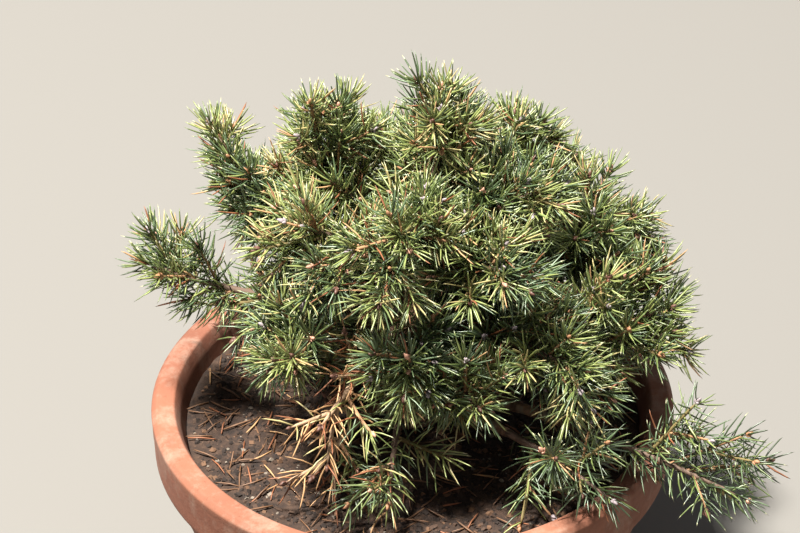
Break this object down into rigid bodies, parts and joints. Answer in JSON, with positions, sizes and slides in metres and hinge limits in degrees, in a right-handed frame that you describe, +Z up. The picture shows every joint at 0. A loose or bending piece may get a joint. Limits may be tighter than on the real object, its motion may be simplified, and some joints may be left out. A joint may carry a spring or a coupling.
{
  "type": "potted conifer",
  "caption": "Dwarf spruce with a low mounded crown of short needled shoots, in a plain shallow clay pot.",
  "frame": {"origin": "middle of the pot's flat underside", "axes": "+Z up the plant, -Y towards the plant's front"},
  "size_m": [0.2547, 0.204, 0.2359],
  "materials": {
    "clay": "unglazed, matt",
    "compost": "rough, matt",
    "bark": "rough, matt",
    "needles": "waxy, soft sheen"
  },
  "bodies": {
    "root": {"pot": "clay", "soil": "compost", "trunk": "bark", "upper_left_bough": "bark", "upper_front_left_bough": "bark", "upper_front_bough": "bark", "upper_front_right_bough": "bark", "upper_right_bough": "bark", "upper_back_right_bough": "bark", "upper_back_bough": "bark", "middle_left_high_bough": "bark", "middle_left_bough": "bark", "middle_left_front_bough": "bark", "middle_front_left_bough": "bark", "middle_front_left_low_bough": "bark", "middle_front_bough": "bark", "middle_front_right_bough": "bark", "middle_right_front_bough": "bark", "middle_right_bough": "bark", "middle_right_high_bough": "bark", "middle_right_back_bough": "bark", "middle_back_bough": "bark", "middle_back_left_bough": "bark", "skirt_left_bough": "bark", "skirt_front_left_bough": "bark", "skirt_front_bough": "bark", "skirt_front_right_bough": "bark", "skirt_right_bough": "bark", "skirt_right_back_bough": "bark", "skirt_back_bough": "bark", "skirt_back_left_bough": "bark", "upper_left_foliage": "needles", "upper_front_left_foliage": "needles", "upper_front_foliage": "needles", "upper_front_right_foliage": "needles", "upper_right_foliage": "needles", "upper_back_right_foliage": "needles", "upper_back_foliage": "needles", "middle_left_high_foliage": "needles", "middle_left_foliage": "needles", "middle_left_front_foliage": "needles", "middle_front_left_foliage": "needles", "middle_front_left_low_foliage": "needles", "middle_front_foliage": "needles", "middle_front_right_foliage": "needles", "middle_right_front_foliage": "needles", "middle_right_foliage": "needles", "middle_right_high_foliage": "needles", "middle_right_back_foliage": "needles", "middle_back_foliage": "needles", "middle_back_left_foliage": "needles", "skirt_left_foliage": "needles", "skirt_front_left_foliage": "needles", "skirt_front_foliage": "needles", "skirt_front_right_foliage": "needles", "skirt_right_foliage": "needles", "skirt_right_back_foliage": "needles", "skirt_back_foliage": "needles", "skirt_back_left_foliage": "needles", "leader_foliage": "needles"}
  },
  "joints": []
}
